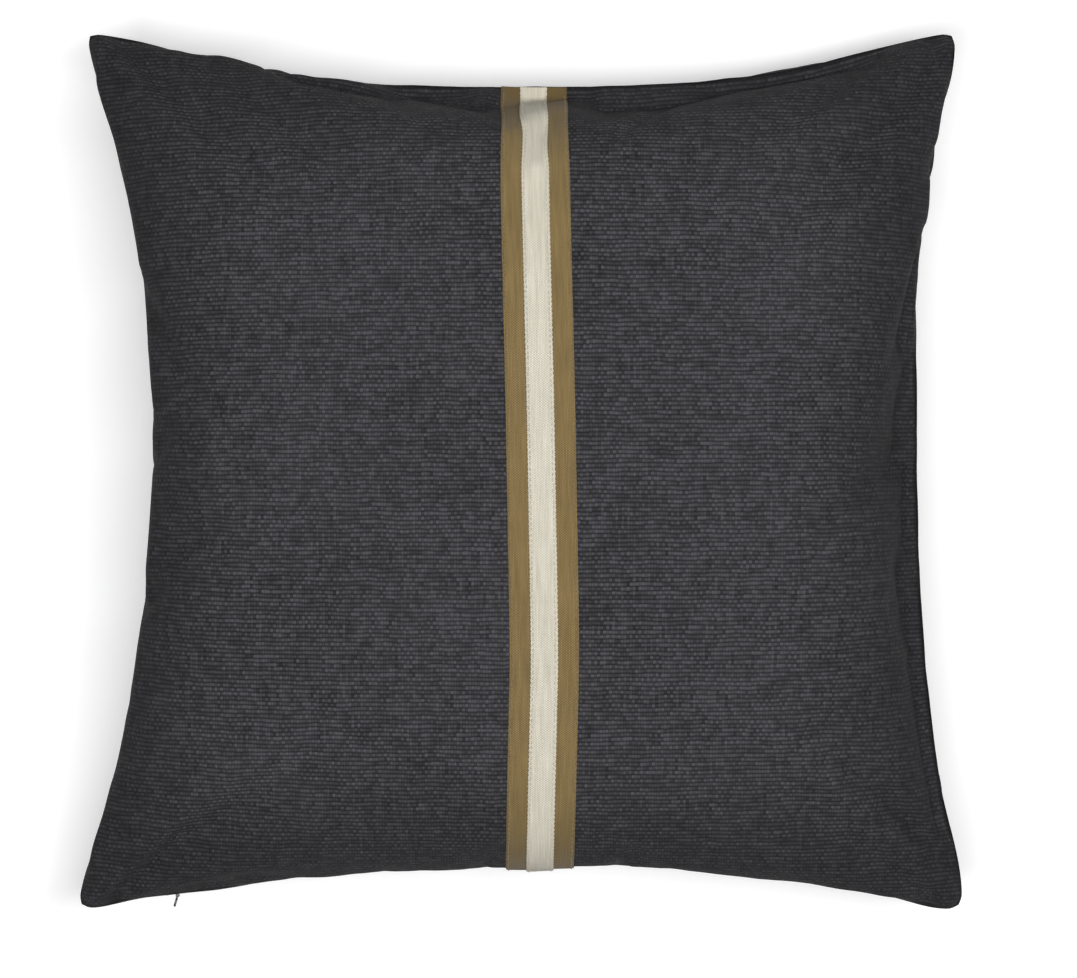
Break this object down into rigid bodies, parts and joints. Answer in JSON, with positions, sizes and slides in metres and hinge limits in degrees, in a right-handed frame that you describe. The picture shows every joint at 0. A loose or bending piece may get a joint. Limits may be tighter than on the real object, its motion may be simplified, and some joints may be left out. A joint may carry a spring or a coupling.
{
  "type": "throw pillow",
  "caption": "Square charcoal woven throw pillow with an olive and cream sewn stripe, a zip hidden in the bottom seam and a filled insert.",
  "frame": {"origin": "on the resting surface, under the middle of the pillow's outline: bottom centre of the bounding box", "axes": "the pillow lies on its back: +Z out of the front, +X to the front's right, +Y to the top edge; the zip is along the -Y edge"},
  "size_m": [0.4976, 0.4925, 0.1522],
  "materials": {
    "cover_fabric": "matte",
    "gold_tape": "matte",
    "cream_tape": "matte",
    "dark_thread": "matte",
    "gold_thread": "matte",
    "cream_thread": "matte",
    "insert_fabric": "matte",
    "white_thread": "matte",
    "filling": "matte",
    "label": "satin",
    "zip_tape": "matte",
    "zip_coil": "satin",
    "zip_metal": "satin"
  },
  "bodies": {
    "cover": {"front_panel": "cover_fabric", "back_panel": "cover_fabric", "gold_tape": "gold_tape", "cream_tape": "cream_tape", "gold_tape_stitching_left": "gold_thread", "gold_tape_stitching_right": "gold_thread", "cream_tape_stitching_left": "cream_thread", "cream_tape_stitching_right": "cream_thread", "edge_seam_thread": "dark_thread", "overlock_thread": "dark_thread", "care_label": "label", "insert_front": "insert_fabric", "insert_back": "insert_fabric", "insert_seam_thread": "white_thread", "filling": "filling", "insert_label": "label", "zipper_tape_front": "zip_tape", "zipper_tape_back": "zip_tape", "zipper_coil_front": "zip_coil", "zipper_coil_back": "zip_coil", "zipper_top_stop": "zip_metal", "zipper_bottom_stop": "zip_metal"},
    "slider": {"zipper_slider": "zip_metal"},
    "pull": {"zipper_pull": "zip_metal"}
  },
  "joints": [
    {"name": "zip_travel", "type": "hinge", "parent": "cover", "child": "slider", "pos_m": [0, -1.54825, 0.069], "axis": [0, 0, -1], "range_deg": [0, 17.1]},
    {"name": "pull_swing", "type": "hinge", "parent": "slider", "child": "pull", "pos_m": [-0.1943, -0.23975, 0.069], "axis": [0, 0, 1], "range_deg": [-64, 112]}
  ]
}
